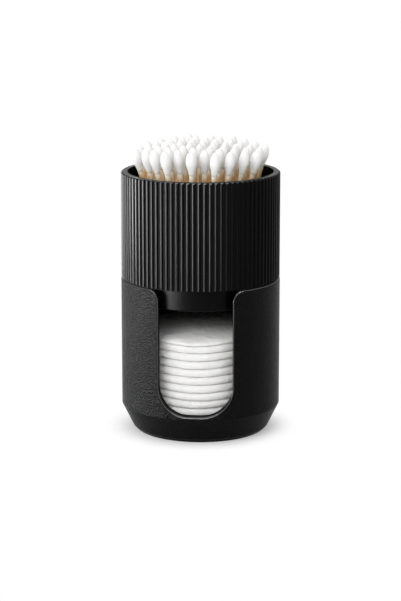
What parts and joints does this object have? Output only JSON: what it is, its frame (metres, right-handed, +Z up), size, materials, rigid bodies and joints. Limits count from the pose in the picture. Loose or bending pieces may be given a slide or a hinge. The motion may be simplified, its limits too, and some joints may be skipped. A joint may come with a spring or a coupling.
{
  "type": "makeup organizer",
  "caption": "Round stacking vanity organizer: a fluted upper cup holding cotton swabs plugs into a lower cup that dispenses cotton pads through a front slot.",
  "frame": {"origin": "middle of the lower cup's foot, on the surface that it stands on", "axes": "+Z up along the cups' common axis, -Y towards the pad slot at the front, +X to the right as seen from the front"},
  "size_m": [0.07, 0.07, 0.129],
  "materials": {
    "grained_black_plastic": "matte, with a fine grain",
    "matte_black_plastic": "smooth and matte",
    "pressed_cotton": "soft, with short fibres",
    "wound_cotton": "smooth wound fibres",
    "bamboo": "bare, with long grain"
  },
  "bodies": {
    "lower_cup": {"pad_cup": "grained_black_plastic"},
    "pads": {"cotton_pad_01": "pressed_cotton", "cotton_pad_02": "pressed_cotton", "cotton_pad_03": "pressed_cotton", "cotton_pad_04": "pressed_cotton", "cotton_pad_05": "pressed_cotton", "cotton_pad_06": "pressed_cotton", "cotton_pad_07": "pressed_cotton", "cotton_pad_08": "pressed_cotton", "cotton_pad_09": "pressed_cotton", "cotton_pad_10": "pressed_cotton", "cotton_pad_11": "pressed_cotton", "cotton_pad_12": "pressed_cotton"},
    "upper_cup": {"swab_cup": "matte_black_plastic"},
    "swabs": {"swab_sticks": "bamboo", "swab_tips_upper": "wound_cotton", "swab_tips_lower": "wound_cotton"}
  },
  "joints": [
    {"name": "upper_cup_lift", "type": "slide", "parent": "lower_cup", "child": "upper_cup", "axis": [0, 0, 1], "range_m": [0, 0.06]},
    {"name": "pad_stack_rise", "type": "slide", "parent": "lower_cup", "child": "pads", "axis": [0, 0, 1], "range_m": [0, 0.0115]},
    {"name": "swab_bunch_lift", "type": "slide", "parent": "upper_cup", "child": "swabs", "axis": [0, 0, 1], "range_m": [0, 0.06]}
  ]
}
